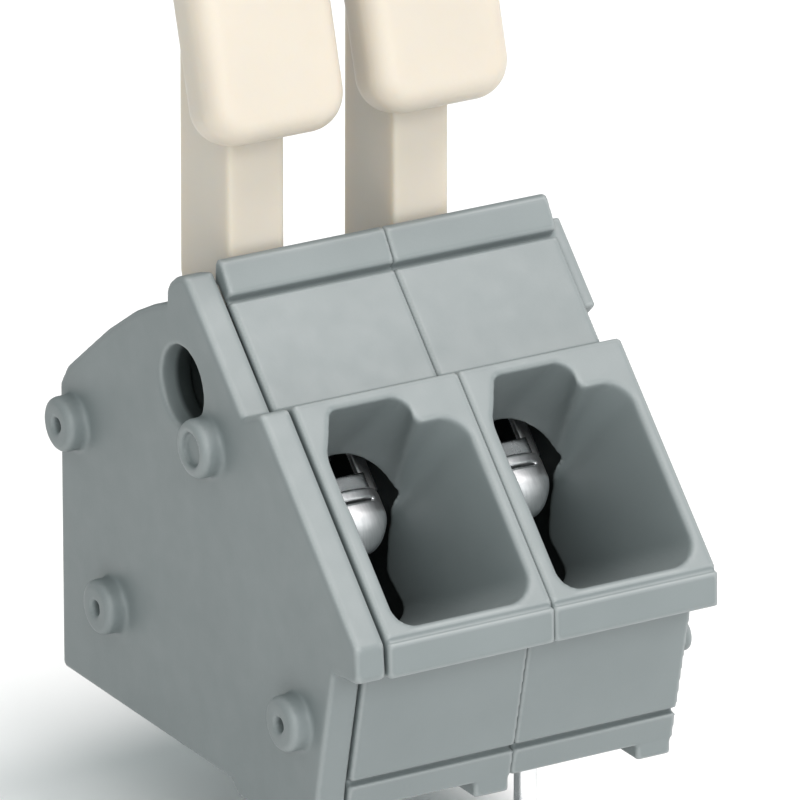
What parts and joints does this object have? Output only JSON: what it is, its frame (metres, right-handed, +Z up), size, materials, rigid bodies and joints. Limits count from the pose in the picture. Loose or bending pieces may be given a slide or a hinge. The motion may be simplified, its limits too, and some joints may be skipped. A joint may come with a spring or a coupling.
{
  "type": "lever-operated board terminal block",
  "caption": "Wire connector for circuit boards: spring cage clamps opened by finger levers, with funnel entries at 45 degrees.",
  "frame": {"origin": "front solder pin of the first pole, on its centre line in the plane of the board's upper face", "axes": "+X along the row of poles away from the end plate; -Y towards the wire side; +Z up from the board"},
  "size_m": [0.0125, 0.0158, 0.0284],
  "materials": {
    "housing_plastic": "fine moulded grey",
    "lever_plastic": "smooth cream",
    "spring_steel": "bright spring strip",
    "tinned_copper": "bright tin plate"
  },
  "bodies": {
    "block": {"end_plate": "housing_plastic", "housing_1": "housing_plastic", "housing_2": "housing_plastic", "clamp_spring_1": "spring_steel", "clamp_spring_2": "spring_steel", "current_bar_1": "tinned_copper", "current_bar_2": "tinned_copper"},
    "lever_1_body": {"lever_1": "lever_plastic"},
    "lever_2_body": {"lever_2": "lever_plastic"},
    "cage_1_body": {"clamp_cage_1": "spring_steel"},
    "cage_2_body": {"clamp_cage_2": "spring_steel"}
  },
  "joints": [
    {"name": "lever_1_swing", "type": "hinge", "parent": "block", "child": "lever_1_body", "pos_m": [-0.00115, 0.00355, 0.01027], "axis": [-1, 0, 0], "range_deg": [0, 50], "stiffness_Nm_per_rad": 0.01},
    {"name": "cage_1_slide", "type": "slide", "parent": "block", "child": "cage_1_body", "axis": [0, -0.7071, -0.7071], "range_m": [0, 0.0015], "deforming": ["clamp_spring_1"]},
    {"name": "lever_2_swing", "type": "hinge", "parent": "block", "child": "lever_2_body", "pos_m": [0.00385, 0.00355, 0.01027], "axis": [-1, 0, 0], "range_deg": [0, 50], "stiffness_Nm_per_rad": 0.01},
    {"name": "cage_2_slide", "type": "slide", "parent": "block", "child": "cage_2_body", "axis": [0, -0.7071, -0.7071], "range_m": [0, 0.0015], "deforming": ["clamp_spring_2"]}
  ],
  "couplings": [
    {"joint": "lever_1_swing", "follows": "cage_1_slide", "rad_per_m": 581.77},
    {"joint": "lever_2_swing", "follows": "cage_2_slide", "rad_per_m": 581.77}
  ]
}
